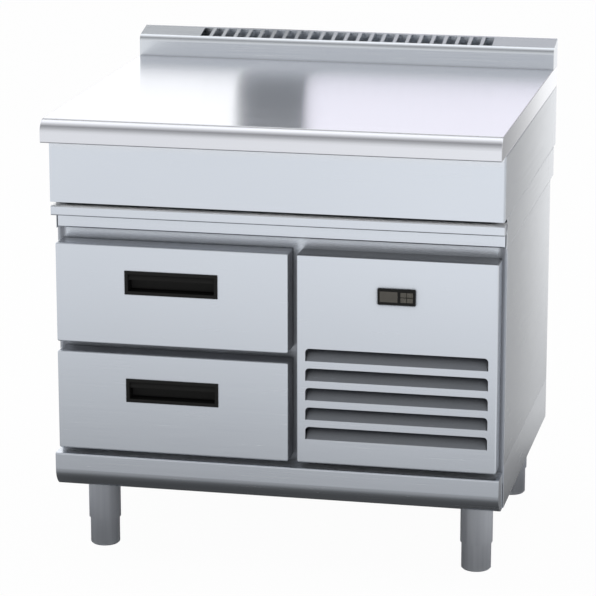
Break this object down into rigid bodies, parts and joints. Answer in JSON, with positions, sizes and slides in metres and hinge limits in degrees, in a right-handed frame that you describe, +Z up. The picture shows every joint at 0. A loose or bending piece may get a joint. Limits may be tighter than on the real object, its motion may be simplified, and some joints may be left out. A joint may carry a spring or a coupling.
{
  "type": "refrigerated base",
  "caption": "Stainless steel refrigerated base with drawers, a louvred machine panel and a bench top with a rounded nosing and a low vented upstand, on adjustable legs.",
  "frame": {"origin": "on the floor, below the middle of the bench top", "axes": "+Z up, -Y towards the user, +X to the user's right"},
  "size_m": [0.9, 0.812, 0.9722],
  "materials": {
    "stainless": "fine brushed",
    "worktop_steel": "polished",
    "galvanised": "zinc coated",
    "black_plastic": "moulded",
    "grey_plastic": "moulded",
    "smoked_window": "gloss",
    "white_plastic": "moulded",
    "gasket_rubber": "soft",
    "insulating_core": "rigid foam",
    "aluminium_fins": "finned",
    "copper": "drawn",
    "black_enamel": "painted"
  },
  "bodies": {
    "body": {"worktop": "worktop_steel", "worktop_stiffeners": "galvanised", "upstand": "stainless", "apron": "stainless", "bench_side_left": "stainless", "bench_side_right": "stainless", "bench_rear_panel": "galvanised", "cabinet_top": "stainless", "fascia": "stainless", "top_band": "stainless", "side_panel_left": "stainless", "side_panel_right": "stainless", "face_frame": "stainless", "inner_liner": "stainless", "insulation": "insulating_core", "partition_panel": "galvanised", "rear_panel": "galvanised", "rear_cover": "galvanised", "base_frame": "galvanised", "base_skirt": "stainless", "plinth": "stainless", "leg_tubes": "stainless", "service_panel": "stainless", "controller": "black_plastic", "display_window": "smoked_window", "unit_tray": "galvanised", "condenser": "aluminium_fins", "fan_shroud": "black_enamel", "compressor": "black_enamel", "refrigerant_lines": "copper", "electrical_box": "grey_plastic", "condensate_tray": "black_plastic", "evaporator": "aluminium_fins", "slide_cabinet_lower": "galvanised", "slide_cabinet_upper": "galvanised"},
    "drawer_lower": {"drawer_front_lower": "stainless", "drawer_core_lower": "white_plastic", "drawer_pull_lower": "black_plastic", "drawer_gasket_lower": "gasket_rubber", "pan_frame_lower": "stainless", "slide_drawer_lower": "galvanised"},
    "slide_middle_lower": {"slide_middle_lower": "galvanised"},
    "drawer_upper": {"drawer_front_upper": "stainless", "drawer_core_upper": "white_plastic", "drawer_pull_upper": "black_plastic", "drawer_gasket_upper": "gasket_rubber", "pan_frame_upper": "stainless", "slide_drawer_upper": "galvanised"},
    "slide_middle_upper": {"slide_middle_upper": "galvanised"},
    "controller_key_1": {"controller_key_1": "grey_plastic"},
    "controller_key_2": {"controller_key_2": "grey_plastic"},
    "controller_key_3": {"controller_key_3": "grey_plastic"},
    "controller_key_4": {"controller_key_4": "grey_plastic"},
    "foot_front_left": {"foot_front_left": "stainless"},
    "foot_front_right": {"foot_front_right": "stainless"},
    "foot_back_left": {"foot_back_left": "stainless"},
    "foot_back_right": {"foot_back_right": "stainless"},
    "condenser_fan": {"condenser_fan": "aluminium_fins"},
    "evaporator_fan": {"evaporator_fan": "black_plastic"}
  },
  "joints": [
    {"name": "drawer_lower_slide", "type": "slide", "parent": "body", "child": "drawer_lower", "axis": [0, -1, 0], "range_m": [0, 0.52]},
    {"name": "slide_middle_lower_slide", "type": "slide", "parent": "body", "child": "slide_middle_lower", "axis": [0, -1, 0], "range_m": [0, 0.26]},
    {"name": "drawer_upper_slide", "type": "slide", "parent": "body", "child": "drawer_upper", "axis": [0, -1, 0], "range_m": [0, 0.52]},
    {"name": "slide_middle_upper_slide", "type": "slide", "parent": "body", "child": "slide_middle_upper", "axis": [0, -1, 0], "range_m": [0, 0.26]},
    {"name": "controller_key_1_press", "type": "slide", "parent": "body", "child": "controller_key_1", "axis": [0, 1, 0], "range_m": [0, 0.0008], "stiffness_N_per_m": 1500, "springref_m": -0.0002},
    {"name": "controller_key_2_press", "type": "slide", "parent": "body", "child": "controller_key_2", "axis": [0, 1, 0], "range_m": [0, 0.0008], "stiffness_N_per_m": 1500, "springref_m": -0.0002},
    {"name": "controller_key_3_press", "type": "slide", "parent": "body", "child": "controller_key_3", "axis": [0, 1, 0], "range_m": [0, 0.0008], "stiffness_N_per_m": 1500, "springref_m": -0.0002},
    {"name": "controller_key_4_press", "type": "slide", "parent": "body", "child": "controller_key_4", "axis": [0, 1, 0], "range_m": [0, 0.0008], "stiffness_N_per_m": 1500, "springref_m": -0.0002},
    {"name": "foot_front_left_adjust", "type": "slide", "parent": "body", "child": "foot_front_left", "axis": [0, 0, -1], "range_m": [0, 0.025]},
    {"name": "foot_front_right_adjust", "type": "slide", "parent": "body", "child": "foot_front_right", "axis": [0, 0, -1], "range_m": [0, 0.025]},
    {"name": "foot_back_left_adjust", "type": "slide", "parent": "body", "child": "foot_back_left", "axis": [0, 0, -1], "range_m": [0, 0.025]},
    {"name": "foot_back_right_adjust", "type": "slide", "parent": "body", "child": "foot_back_right", "axis": [0, 0, -1], "range_m": [0, 0.025]},
    {"name": "condenser_fan_spin", "type": "hinge", "parent": "body", "child": "condenser_fan", "pos_m": [0.2425, -0.1932, 0.3378], "axis": [0, 1, 0], "continuous": true},
    {"name": "evaporator_fan_spin", "type": "hinge", "parent": "body", "child": "evaporator_fan", "pos_m": [-0.206, 0.2687, 0.4405], "axis": [0, 1, 0], "continuous": true}
  ],
  "couplings": [
    {"joint": "slide_middle_lower_slide", "follows": "drawer_lower_slide", "ratio": 0.5},
    {"joint": "slide_middle_upper_slide", "follows": "drawer_upper_slide", "ratio": 0.5}
  ]
}
